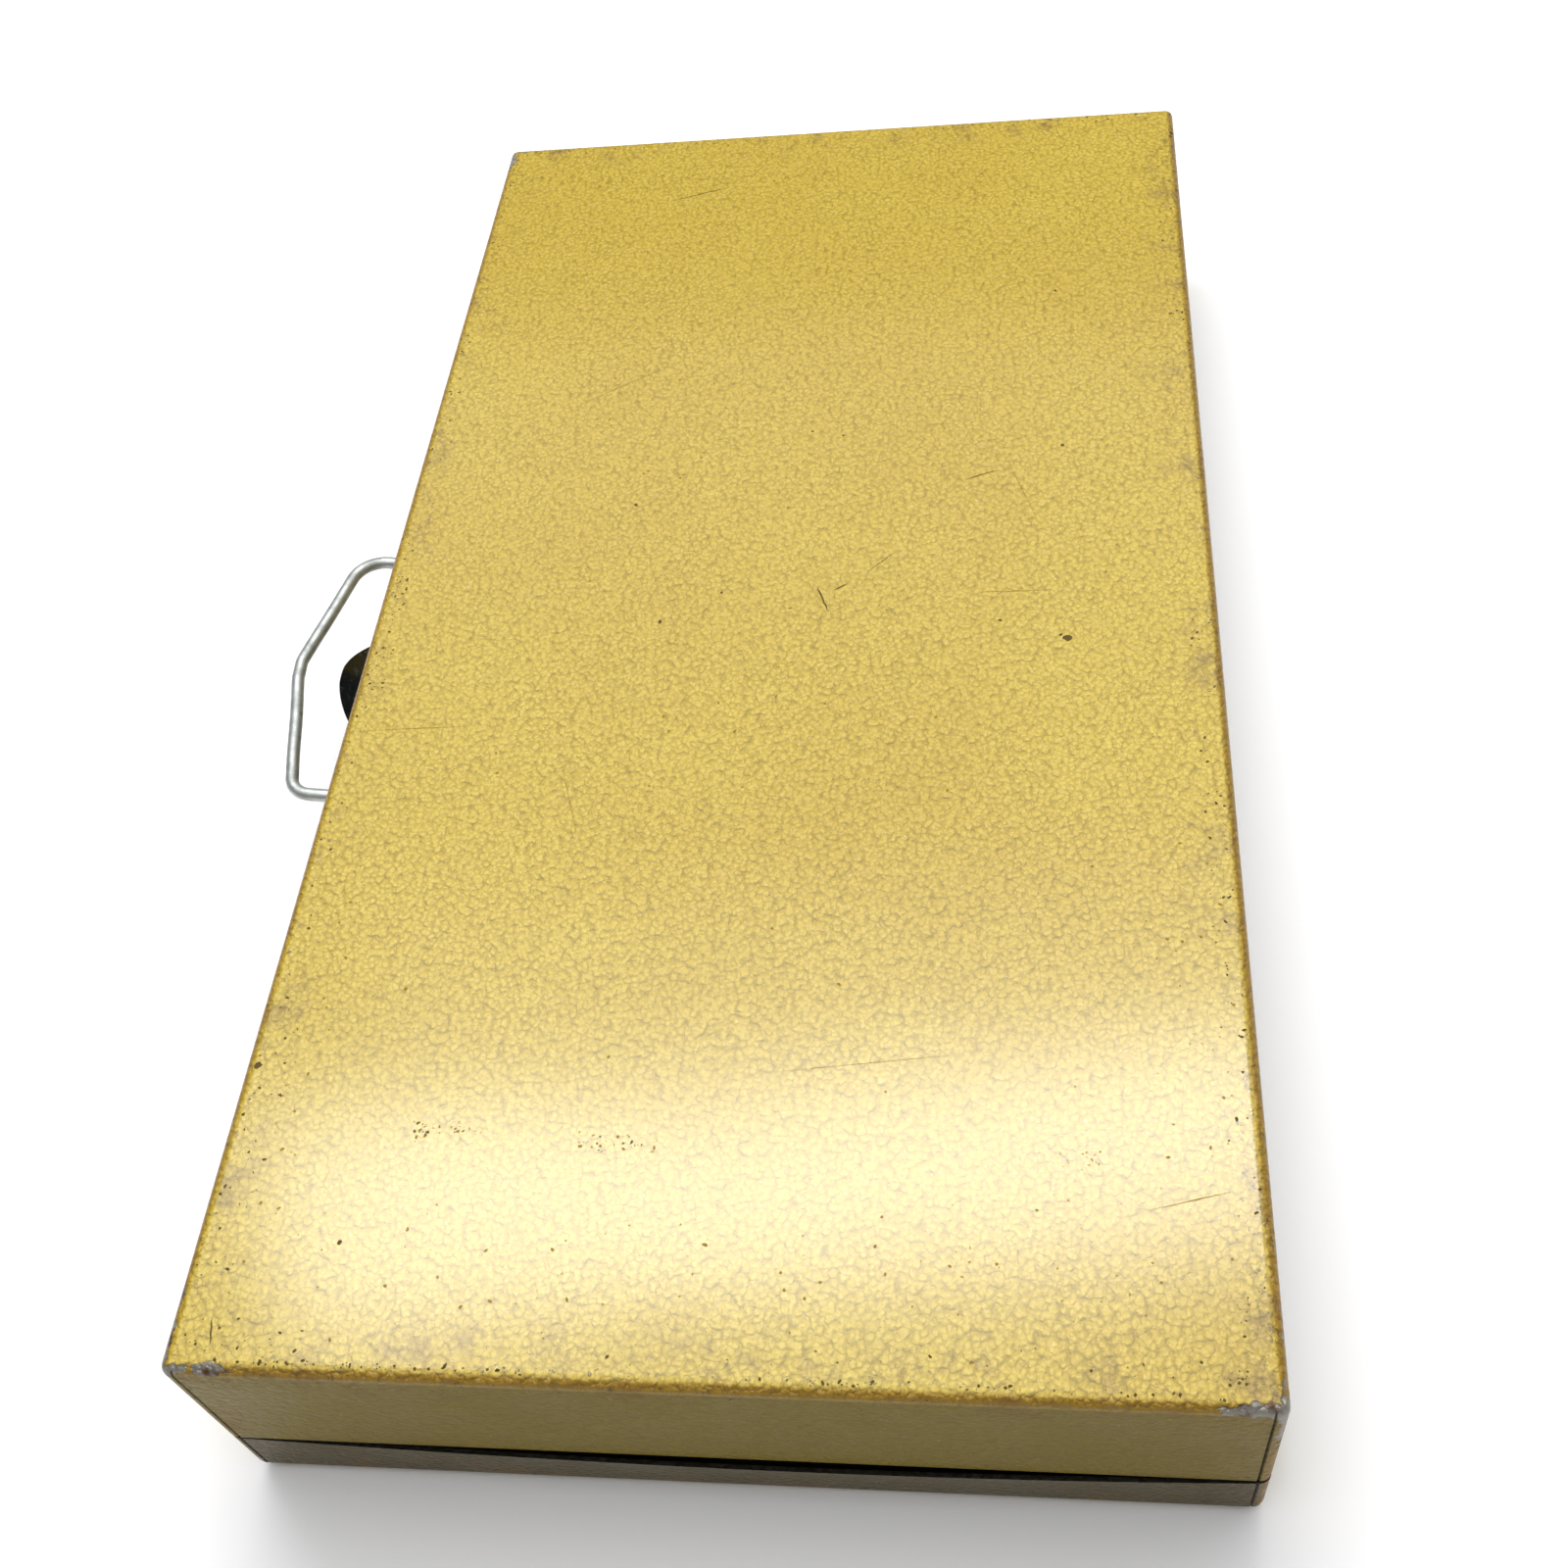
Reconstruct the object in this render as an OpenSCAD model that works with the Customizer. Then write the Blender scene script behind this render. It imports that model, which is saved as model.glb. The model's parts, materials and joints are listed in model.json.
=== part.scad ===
// Steel storage box with a deep hinged lid, lift-out trays and a cantilever tray
// +X runs along the box, the front with latch and handle faces -Y, the hinge is at +Y, +Z is up.
// The origin is the centre of the underside.

/* [Case] */
// Length of the case along X
case_l = 381; // [360:1:410]
// Width of the case from front to back
case_w = 200; // [194:1:216]
// Height of the closed case
case_h = 56; // [56:0.5:60]
// Height of the seam between base and lid
seam_z = 19.5; // [19:0.5:20]
// Thickness of the case sheet
sheet = 0.9; // [0.8:0.1:1]
// Gap between base and lid at the seam
seam_gap = 0.3; // [0.2:0.1:0.5]
// Outer bend radius along the base's bottom edges
base_bend = 4.5; // [3:0.5:5]
// Outer bend radius along the lid's top edges
lid_bend = 2.2; // [1.5:0.1:3]
// Outer radius of the upright corners
corner_bend = 2.2; // [1.5:0.1:3]

/* [Handle] */
// Wire diameter of the handle
wire_d = 3.2; // [2.8:0.1:3.4]
// Distance between the handle's two legs, centre to centre
bail_w = 79; // [74:1:84]
// Distance from the pivot to the handle's corners
bail_leg = 18.4; // [17:0.2:20]
// Distance from the pivot to the middle of the grip
bail_reach = 26.1; // [24:0.1:26.2]
// Height of the handle's pivot
bail_z = 28; // [28:0.5:29]
// How far the handle stands above level
bail_tilt = 8; // [0:1:12]

/* [Latch] */
// Width of the finger lip
latch_w = 29; // [26:1:30]
// How far the finger lip stands out from the front wall
latch_out = 18.7; // [17:0.1:19]
// Height of the lever's pivot
latch_pivot_z = 38; // [38:0.5:39]

/* [Trays] */
// Thickness of the tray sheet
tray_sheet = 0.8; // [0.6:0.1:1]
// Height of the two front trays
front_tray_h = 25; // [22:1:26]
// Height of the two rear trays
rear_tray_h = 45.5; // [40:0.5:46]
// Height of the cantilever tray
upper_tray_h = 23.5; // [20:0.5:24]
// Length of the cantilever arms between pivots
arm_l = 70; // [68:1:72]

/* [Hidden] */
$fn = 64;
eps = 0.01;
fit = 0.05;             // running clearance on a radius
weld_gap = 0.04;        // drawn between parts that are spot-welded face to face

hammertone = [0.80, 0.67, 0.32];
zinc = [0.72, 0.72, 0.70];
black = [0.08, 0.09, 0.09];
tinned = [0.62, 0.63, 0.62];

half_l = case_l / 2;
half_w = case_w / 2;
end_in = half_l - sheet;                // inner face of the end walls
wall_in = half_w - sheet;               // inner face of the front and back walls
base_top = seam_z - seam_gap / 2;
lid_low = seam_z + seam_gap / 2;

// Rim lip: its lower band is welded inside the base, its upper band steps in and enters the lid
lip_t = 0.8;
lip_step = 0.4;
lip_low = 6;
lip_joggle = 17;
lip_top = 24;

// Hinge along the back
hinge_z = seam_z;
knuckle_r = 1.9;
hinge_y = half_w + knuckle_r + 0.3;
hinge_pin_r = 0.8;
leaf_t = 0.9;
leaf_h = 12;
leaf_half = half_l - 16;
knuckles = 12;
knuckle_gap = 0.4;

// Cantilever linkage, in layers from the end wall inwards
link_x = 186.5 + (case_l - 381) / 2;    // inner face of the lid links
link_t = 1;
arm_x = link_x - 1.6;                   // inner face of the arms
arm_t = 1.2;
tray_end = arm_x - 0.9;                 // outer face of the cantilever tray's ends
arm_w = 8;
arm_pin_r = 2;
link_pin_r = 1.5;
base_pivot_z = 13;
tray_pivot_z = 32;
rear_base_y = 37.6;                     // rear arm's pivot on the base
arm_spacing = 40;
arm_rest = asin((tray_pivot_z - base_pivot_z) / arm_l);
link_arm = 30;                          // pivot to link pin, on the arm and on the lid alike

// Trays
floor_gap = 0.3;
front_tray_y = [-96.5, -2];
rear_tray_y = [6, 96.5];
loose_x = [1, 183.6 + (case_l - 381) / 2];
tray_low = sheet + floor_gap;
upper_tray_y = [-92, -5];
upper_tray_low = 28.5;

// Latch and handle on the front wall
front = -half_w;
latch_pivot_out = 5;
latch_pin_r = 1.2;
lever_t = 1.2;
lip_curl = 15.9;                        // mean radius of the curled lip
lip_curl_out = 6;                       // its centre line's distance from the wall
tongue_low = 11;
tongue_half = 11;
tongue_out = 2.6;
plate_t = 1;
bail_out = 3.3;
bail_r = wire_d / 2;
bail_pin = 11;                          // length of each turned-in end
bail_corner = 5;
bail_apex = 7;
elbow = 2.6;

// ---------- helpers ----------

// A box given by its lowest and highest corners
module slab(low, high) {
    translate(low) cube(high - low);
}

// Extrude a Y-Z outline along X between two X values
module along_x(x0, x1) {
    translate([x0, 0, 0]) rotate([90, 0, 90]) linear_extrude(x1 - x0) children();
}

// A cylinder along X between two X values
module rod_x(x0, x1, y, z, r) {
    translate([x0, y, z]) rotate([0, 90, 0]) cylinder(h = x1 - x0, r = r);
}

// A cylinder along Y between two Y values
module rod_y(y0, y1, x, z, r) {
    translate([x, y1, z]) rotate([90, 0, 0]) cylinder(h = y1 - y0, r = r);
}

// Both ends of the box from one description of the +X end
module both_ends() {
    children();
    mirror([1, 0, 0]) children();
}

// Extrude an X-Z outline along Y between two Y values
module along_y(y0, y1) {
    translate([0, y1, 0]) rotate([90, 0, 0]) linear_extrude(y1 - y0) children();
}

// Side outline of a box with round bottom edges
module round_bottom(half, height, r) {
    translate([-half, r]) square([2 * half, height - r]);
    translate([-half + r, 0]) square([2 * (half - r), height]);
    translate([-half + r, r]) circle(r);
    translate([half - r, r]) circle(r);
}

// Plan outline with round corners
module round_plan(half_x, half_y, r) {
    square([2 * half_x, 2 * (half_y - r)], center = true);
    square([2 * (half_x - r), 2 * half_y], center = true);
    for (sx = [-1, 1], sy = [-1, 1]) translate([sx * (half_x - r), sy * (half_y - r)]) circle(r);
}

// Block with round bottom edges and round upright corners
module folded_block(half_x, half_y, height, r, corner) {
    intersection() {
        along_x(-half_x, half_x) round_bottom(half_y, height, r);
        along_y(-half_y, half_y) round_bottom(half_x, height, r);
        linear_extrude(height) round_plan(half_x, half_y, corner);
    }
}

// A sheet folded up on all four sides and welded at the corners
module folded_pan(height, r) {
    difference() {
        folded_block(half_l, half_w, height, r, corner_bend);
        translate([0, 0, sheet])
            folded_block(end_in, wall_in, height, r - sheet, corner_bend - sheet);
    }
}

// Open tray folded from sheet
module tray(low, high) {
    t = tray_sheet;
    difference() {
        slab(low, high);
        slab(low + [t, t, t], high + [-t, -t, 1]);
    }
}

// Upright partitions across X, evenly spaced inside a tray
module cross_dividers(low, high, count, height) {
    pitch = (high[0] - low[0]) / (count + 1);
    inner = tray_sheet + weld_gap;
    for (i = [1 : count]) {
        x = low[0] + i * pitch;
        slab([x - tray_sheet / 2, low[1] + inner, low[2] + inner],
             [x + tray_sheet / 2, high[1] - inner, low[2] + height]);
    }
}

// Domed rivet on the outside of a wall that faces -Y
module rivet(x, z, y_face, r = 2) {
    translate([x, y_face, z]) rotate([90, 0, 0])
        intersection() {
            translate([0, 0, -1.2 * r]) sphere(r = 1.6 * r);
            cylinder(h = r, r = r);
        }
}

// Arm or link: a flat bar with round eyes a little wider than the bar, from a to b in the Y-Z plane
module flat_bar(x0, t, a, b, w, holes) {
    shank = w - 1;
    d = b - a;
    length = norm(d);
    turn = atan2(d[1], d[0]);
    along_x(x0, x0 + t) difference() {
        union() {
            translate(a) rotate(turn) translate([0, -shank / 2]) square([length, shank]);
            translate(a) circle(w / 2);
            translate(b) circle(w / 2);
        }
        for (h = holes) translate(h[0]) circle(h[1]);
    }
}

// Round wire through flat points, with a fillet radius at each inner point.
// Bends are drawn a hair fatter than the straights, which run a little way into them.
bend_extra = 0.012;
straight_extra = 0.1;
function unit(v) = v / norm(v);
function corner_turn(p, i) =
    let (u = unit(p[i] - p[i - 1]), v = unit(p[i + 1] - p[i])) atan2(u[0] * v[1] - u[1] * v[0], u * v);
function setback(p, rad, i) = (i == 0 || i == len(p) - 1) ? 0 : rad[i] * tan(abs(corner_turn(p, i)) / 2);

module wire(p, rad, r) {
    for (i = [0 : len(p) - 2]) {
        u = unit(p[i + 1] - p[i]);
        first = i == 0 ? 0 : straight_extra;
        last = i == len(p) - 2 ? 0 : straight_extra;
        a = p[i] + u * (setback(p, rad, i) - first);
        b = p[i + 1] - u * (setback(p, rad, i + 1) - last);
        translate([a[0], a[1], 0]) rotate([0, 0, atan2(u[1], u[0])]) rotate([0, 90, 0])
            cylinder(h = norm(b - a), r = r);
    }
    for (i = [1 : len(p) - 2]) {
        u = unit(p[i] - p[i - 1]);
        turn = corner_turn(p, i);
        side = turn > 0 ? 1 : -1;
        a = p[i] - u * setback(p, rad, i);
        centre = a + side * rad[i] * [-u[1], u[0]];
        start = atan2(u[1], u[0]) - side * 90;
        translate([centre[0], centre[1], 0]) rotate([0, 0, side > 0 ? start : start + turn])
            rotate_extrude(angle = abs(turn)) translate([rad[i], 0]) circle(r + bend_extra);
    }
}

// ---------- case ----------

module base_pan() {
    color(hammertone) folded_pan(base_top, base_bend);
}

// Strip round the front and both ends that locates the lid
module lip_band(inset, low, high) {
    x = end_in - inset;
    y = -wall_in + inset;
    back = wall_in - 6;
    slab([-x, y, low], [x, y + lip_t, high]);
    both_ends() slab([x - lip_t, y, low], [x, back, high]);
}

module rim_lip() {
    color(hammertone) union() {
        lip_band(weld_gap, lip_low, lip_joggle);
        lip_band(lip_step, lip_joggle - 1, lip_top);
    }
}

// The lid is a pan turned over
module lid_cover() {
    color(hammertone) translate([0, 0, case_h]) mirror([0, 0, 1])
        folded_pan(case_h - lid_low, lid_bend);
}

// ---------- hinge ----------

// One leaf with every second knuckle: dir is -1 for the base's leaf and +1 for the lid's
module hinge_leaf(dir, first) {
    pitch = 2 * leaf_half / knuckles;
    near = hinge_z + dir * (knuckle_r + 0.3);
    far = hinge_z + dir * leaf_h;
    y0 = half_w + weld_gap;
    difference() {
        union() {
            slab([-leaf_half, y0, min(near, far)], [leaf_half, y0 + leaf_t, max(near, far)]);
            for (i = [first : 2 : knuckles - 1]) {
                x0 = -leaf_half + i * pitch + knuckle_gap / 2;
                x1 = x0 + pitch - knuckle_gap;
                rod_x(x0, x1, hinge_y, hinge_z, knuckle_r);
                slab([x0, y0, min(hinge_z, near)], [x1, y0 + leaf_t, max(hinge_z, near)]);
            }
        }
        rod_x(-leaf_half - 1, leaf_half + 1, hinge_y, hinge_z, hinge_pin_r + fit);
    }
}

module hinge_leaf_lower() {
    color(zinc) hinge_leaf(-1, 0);
}

module hinge_leaf_upper() {
    color(zinc) hinge_leaf(1, 1);
}

module hinge_pin() {
    color(zinc) rod_x(-leaf_half, leaf_half, hinge_y, hinge_z, hinge_pin_r);
}

// ---------- latch ----------

// Plate with two ears that hold the lever's pin
module latch_plate() {
    half = latch_w / 2 + 1;
    ear_x = tongue_half + 1;
    low = latch_pivot_z - 6;
    high = latch_pivot_z + 7.5;
    color(black) difference() {
        union() {
            slab([-half, front - plate_t - weld_gap, low], [half, front - weld_gap, high]);
            both_ends() slab([ear_x, front - plate_t - weld_gap - 3, latch_pivot_z - 3],
                             [ear_x + 1.2, front - plate_t, latch_pivot_z + 3]);
            both_ends() rod_x(ear_x, ear_x + 1.2, front - latch_pivot_out, latch_pivot_z, 3);
        }
        rod_x(-half, half, front - latch_pivot_out, latch_pivot_z, latch_pin_r + 0.02);
    }
}

module latch_rivets() {
    face = front - plate_t - weld_gap;
    color(zinc) for (x = [-8.5, 8.5]) rivet(x, latch_pivot_z + 4.9, face, 1.8);
}

module latch_pin() {
    reach = tongue_half + 2.9;
    color(zinc) union() {
        rod_x(-reach, reach, front - latch_pivot_out, latch_pivot_z, latch_pin_r);
        both_ends() rod_x(reach - 0.6, reach, front - latch_pivot_out, latch_pivot_z, 2);
    }
}

// Turns of a coil spring round the lever's pin
module latch_spring() {
    wire_r = 0.3;
    color(zinc) for (i = [-3 : 3])
        translate([i * 0.65, front - latch_pivot_out, latch_pivot_z]) rotate([0, 90, 0])
            rotate_extrude() translate([latch_pin_r + 0.1 + wire_r, 0]) circle(wire_r);
}

// Side view of the lever: barrel, flat tongue and the lip that curls out and up.
// The first coordinate is -Y measured from the wall.
module lever_outline() {
    lip_z = latch_pivot_z - 0.1;
    inner = lip_curl - lever_t / 2;
    outer = lip_curl + lever_t / 2;
    difference() {
        union() {
            translate([tongue_out, tongue_low]) square([lever_t, latch_pivot_z - tongue_low]);
            translate([latch_pivot_out, latch_pivot_z]) circle(latch_pin_r + 1.2);
            // curled lip
            intersection() {
                difference() {
                    translate([lip_curl_out, lip_z]) circle(outer);
                    translate([lip_curl_out, lip_z]) circle(inner);
                }
                translate([tongue_out, lip_z - outer - 1]) square([outer + 8, outer - 7.7]);
            }
        }
        translate([latch_pivot_out, latch_pivot_z]) circle(latch_pin_r + fit);
    }
}

// Plan of the lever: the lip's front edge is an arc, the tongue is narrower
module lever_plan() {
    r = 24;
    intersection() {
        translate([0, front - latch_out + r]) circle(r, $fn = 128);
        translate([-latch_w / 2, front - latch_out - 1]) square([latch_w, 40]);
    }
}

module latch_lever() {
    spring_half = 2.6;
    color(black) difference() {
        intersection() {
            translate([latch_w / 2, front, 0]) rotate([0, 0, 180]) along_x(0, latch_w) lever_outline();
            linear_extrude(case_h) lever_plan();
        }
        // the barrel and tongue fit between the ears
        both_ends() slab([tongue_half + 0.5, front - 9, 24.5], [latch_w, front - 1, case_h]);
        both_ends() slab([tongue_half, front - tongue_out - lever_t - eps, 0], [latch_w, front, 21.6]);
        // slot for the spring
        slab([-spring_half, front - 9, latch_pivot_z - 3.2], [spring_half, front - 1, case_h]);
    }
}

// Raised pad on the base that the lever's tongue closes over
module latch_keeper() {
    half = 15;
    face = front - 0.9;
    color(black) union() {
        slab([-half, face, 8.5], [half, front - weld_gap, 18.5]);
        along_x(-9, 9) intersection() {
            translate([face + 0.1, 14]) circle(1.4);
            translate([face - 2, 10]) square([2.4, 8]);
        }
    }
}

module keeper_rivets() {
    color(zinc) for (x = [-12.5, 12.5]) rivet(x, 13.5, front - 0.9, 1.6);
}

// ---------- handle ----------

module handle_bail() {
    half = bail_w / 2;
    p = [[half - bail_pin, 0], [half, 0], [half, bail_leg], [0, bail_reach], [-half, bail_leg],
         [-half, 0], [-half + bail_pin, 0]];
    rad = [0, elbow, bail_corner, bail_apex, bail_corner, elbow, 0];
    color(zinc) translate([0, front - bail_out, bail_z]) rotate([-bail_tilt, 0, 0])
        mirror([0, 1, 0]) wire(p, rad, bail_r);
}

// Riveted clip with a rolled eye round the bail's turned-in end
module handle_bracket() {
    x1 = bail_w / 2 - bail_r - 1.4;
    x0 = x1 - 8;
    face = front - weld_gap;
    y = front - bail_out;
    color(zinc) difference() {
        union() {
            slab([x0 - 1, face - 1, bail_z - 9], [x1, face, bail_z + 9]);
            rod_x(x0, x1, y, bail_z, bail_r + 1.1);
            slab([x0, y, bail_z - bail_r - 1.1], [x1, face - 0.5, bail_z + bail_r + 1.1]);
        }
        rod_x(x0 - 2, x1 + 1, y, bail_z, bail_r + fit);
    }
}

module handle_bracket_right() {
    handle_bracket();
}

module handle_bracket_left() {
    mirror([1, 0, 0]) handle_bracket();
}

module bracket_rivets() {
    x = bail_w / 2 - bail_r - 5.9;
    face = front - weld_gap - 1;
    color(zinc) both_ends() for (dz = [-6.2, 6.2]) rivet(x, bail_z + dz, face, 1.7);
}

// ---------- loose trays in the base ----------

function front_low(side) = [side > 0 ? loose_x[0] : -loose_x[1], front_tray_y[0], tray_low];
function front_high(side) =
    [side > 0 ? loose_x[1] : -loose_x[0], front_tray_y[1], tray_low + front_tray_h];
function rear_low(side) = [side > 0 ? loose_x[0] : -loose_x[1], rear_tray_y[0], tray_low];
function rear_high(side) = [side > 0 ? loose_x[1] : -loose_x[0], rear_tray_y[1], tray_low + rear_tray_h];

module front_tray_left() {
    color(tinned) tray(front_low(-1), front_high(-1));
}

// One partition along the left tray, for long tools
module front_tray_left_divider() {
    inner = tray_sheet + weld_gap;
    low = front_low(-1) + [inner, 0, inner];
    high = front_high(-1) - [inner, 0, 4];
    y = -62;
    color(tinned) slab([low[0], y - tray_sheet / 2, low[2]], [high[0], y + tray_sheet / 2, high[2]]);
}

module front_tray_right() {
    color(tinned) tray(front_low(1), front_high(1));
}

module front_tray_right_dividers() {
    color(tinned) cross_dividers(front_low(1), front_high(1), 3, front_tray_h - 4);
}

module rear_tray_left() {
    color(tinned) tray(rear_low(-1), rear_high(-1));
}

module rear_tray_right() {
    color(tinned) tray(rear_low(1), rear_high(1));
}

module rear_tray_right_dividers() {
    color(tinned) cross_dividers(rear_low(1), rear_high(1), 3, rear_tray_h - 5);
}

// ---------- cantilever tray ----------

upper_low = [-tray_end, upper_tray_y[0], upper_tray_low];
upper_high = [tray_end, upper_tray_y[1], upper_tray_low + upper_tray_h];

module upper_tray() {
    color(tinned) tray(upper_low, upper_high);
}

module upper_tray_dividers() {
    color(tinned) cross_dividers(upper_low, upper_high, 5, upper_tray_h - 3.5);
}

// Pivot points in the Y-Z plane at rest
function along_arm(p, length) = p + length * [-cos(arm_rest), sin(arm_rest)];
rear_base = [rear_base_y, base_pivot_z];
front_base = [rear_base_y - arm_spacing, base_pivot_z];
rear_tray_pin = along_arm(rear_base, arm_l);
front_tray_pin = along_arm(front_base, arm_l);
arm_link_pin = along_arm(rear_base, link_arm);
lid_link_pin = along_arm([hinge_y, hinge_z], link_arm);
arm_hole = arm_pin_r + fit;
link_hole = link_pin_r + fit;
loop_hole = arm_pin_r + 0.25;           // the linkage's closing joint has play

module rear_arms() {
    color(zinc) both_ends()
        flat_bar(arm_x, arm_t, rear_base, rear_tray_pin, arm_w,
                 [[rear_base, arm_hole], [rear_tray_pin, arm_hole], [arm_link_pin, link_pin_r]]);
}

module front_arms() {
    color(zinc) both_ends()
        flat_bar(arm_x, arm_t, front_base, front_tray_pin, arm_w,
                 [[front_base, arm_hole], [front_tray_pin, loop_hole]]);
}

// Shouldered rivets in the base, one for each arm
module arm_pivots() {
    foot = end_in - weld_gap - lip_t;
    color(zinc) both_ends() for (p = [rear_base, front_base]) {
        rod_x(arm_x - 0.2, foot, p[0], p[1], arm_pin_r);
        rod_x(arm_x + arm_t + 0.15, foot, p[0], p[1], 2.8);
        rod_x(arm_x - 0.7, arm_x - 0.15, p[0], p[1], 3.2);
    }
}

// Pins on the tray's ends
module tray_pivots() {
    color(zinc) both_ends() for (p = [rear_tray_pin, front_tray_pin]) {
        rod_x(tray_end, arm_x + arm_t + 0.2, p[0], p[1], arm_pin_r);
        rod_x(tray_end, arm_x - 0.15, p[0], p[1], 3.2);
        rod_x(arm_x + arm_t + 0.15, arm_x + arm_t + 0.7, p[0], p[1], 3.2);
    }
}

// Links that turn the arms with the lid
module lid_links() {
    color(zinc) both_ends()
        flat_bar(link_x, link_t, arm_link_pin, lid_link_pin, 6.5,
                 [[arm_link_pin, link_pin_r + 0.2], [lid_link_pin, link_hole]]);
}

module arm_link_pins() {
    color(zinc) both_ends() {
        rod_x(arm_x, link_x + link_t + 0.3, arm_link_pin[0], arm_link_pin[1], link_pin_r);
    }
}

module lid_link_pivots() {
    p = lid_link_pin;
    color(zinc) both_ends() {
        rod_x(link_x - 0.2, end_in, p[0], p[1], link_pin_r);
        rod_x(link_x + link_t + 0.15, end_in, p[0], p[1], 2.8);
        rod_x(link_x - 0.7, link_x - 0.15, p[0], p[1], 2.8);
    }
}

base_pan();
rim_lip();
lid_cover();
hinge_leaf_lower();
hinge_leaf_upper();
hinge_pin();
latch_plate();
latch_rivets();
latch_pin();
latch_spring();
latch_lever();
latch_keeper();
keeper_rivets();
handle_bail();
handle_bracket_left();
handle_bracket_right();
bracket_rivets();
front_tray_left();
front_tray_left_divider();
front_tray_right();
front_tray_right_dividers();
rear_tray_left();
rear_tray_right();
rear_tray_right_dividers();
upper_tray();
upper_tray_dividers();
tray_pivots();
rear_arms();
front_arms();
arm_pivots();
arm_link_pins();
lid_links();
lid_link_pivots();
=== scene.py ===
import json
import math
import random

import bmesh
import bpy
from mathutils import Matrix, Vector, noise


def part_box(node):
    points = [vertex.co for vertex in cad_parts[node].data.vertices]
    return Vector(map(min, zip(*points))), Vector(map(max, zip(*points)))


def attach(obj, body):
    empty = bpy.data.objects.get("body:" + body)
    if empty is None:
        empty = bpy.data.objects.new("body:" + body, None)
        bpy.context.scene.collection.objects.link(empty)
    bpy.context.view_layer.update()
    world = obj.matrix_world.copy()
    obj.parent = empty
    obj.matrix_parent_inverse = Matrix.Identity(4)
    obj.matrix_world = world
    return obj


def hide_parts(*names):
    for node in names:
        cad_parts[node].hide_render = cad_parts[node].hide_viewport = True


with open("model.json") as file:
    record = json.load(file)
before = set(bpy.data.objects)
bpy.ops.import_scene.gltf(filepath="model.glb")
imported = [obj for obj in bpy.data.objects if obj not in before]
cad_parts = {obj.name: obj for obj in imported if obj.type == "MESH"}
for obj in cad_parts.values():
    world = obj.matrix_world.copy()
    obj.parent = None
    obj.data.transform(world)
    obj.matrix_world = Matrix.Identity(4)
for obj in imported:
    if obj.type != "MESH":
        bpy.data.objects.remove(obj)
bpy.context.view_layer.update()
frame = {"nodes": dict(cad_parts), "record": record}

MM = 0.001
scene = bpy.context.scene

# ---------- places, all worked out from the frame ----------

LID_LOW, LID_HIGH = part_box("lid_cover")
BASE_LOW, BASE_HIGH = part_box("base_pan")
HALF_L = LID_HIGH.x
HALF_W = LID_HIGH.y
TOP = LID_HIGH.z
SHEET = 0.9 * MM
CORNER = 2.2 * MM       # radius of the upright corners
LID_BEND = 2.2 * MM     # radius of the lid's top edges
BASE_BEND = 4.5 * MM    # radius of the base's bottom edges
SEAM_STEP = 0.35 * MM   # from a corner's arc to its welded seam
SEAM_DEPTH = 0.35 * MM
LID_SAG = -0.35 * MM    # how far the lid's top has sunk in its middle


def srgb(r, g, b):
    """Linear colour from 8-bit sRGB values."""
    def one(v):
        v /= 255
        return v / 12.92 if v <= 0.04045 else ((v + 0.055) / 1.055) ** 2.4
    return one(r), one(g), one(b), 1.0


# ---------- node helpers ----------

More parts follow.
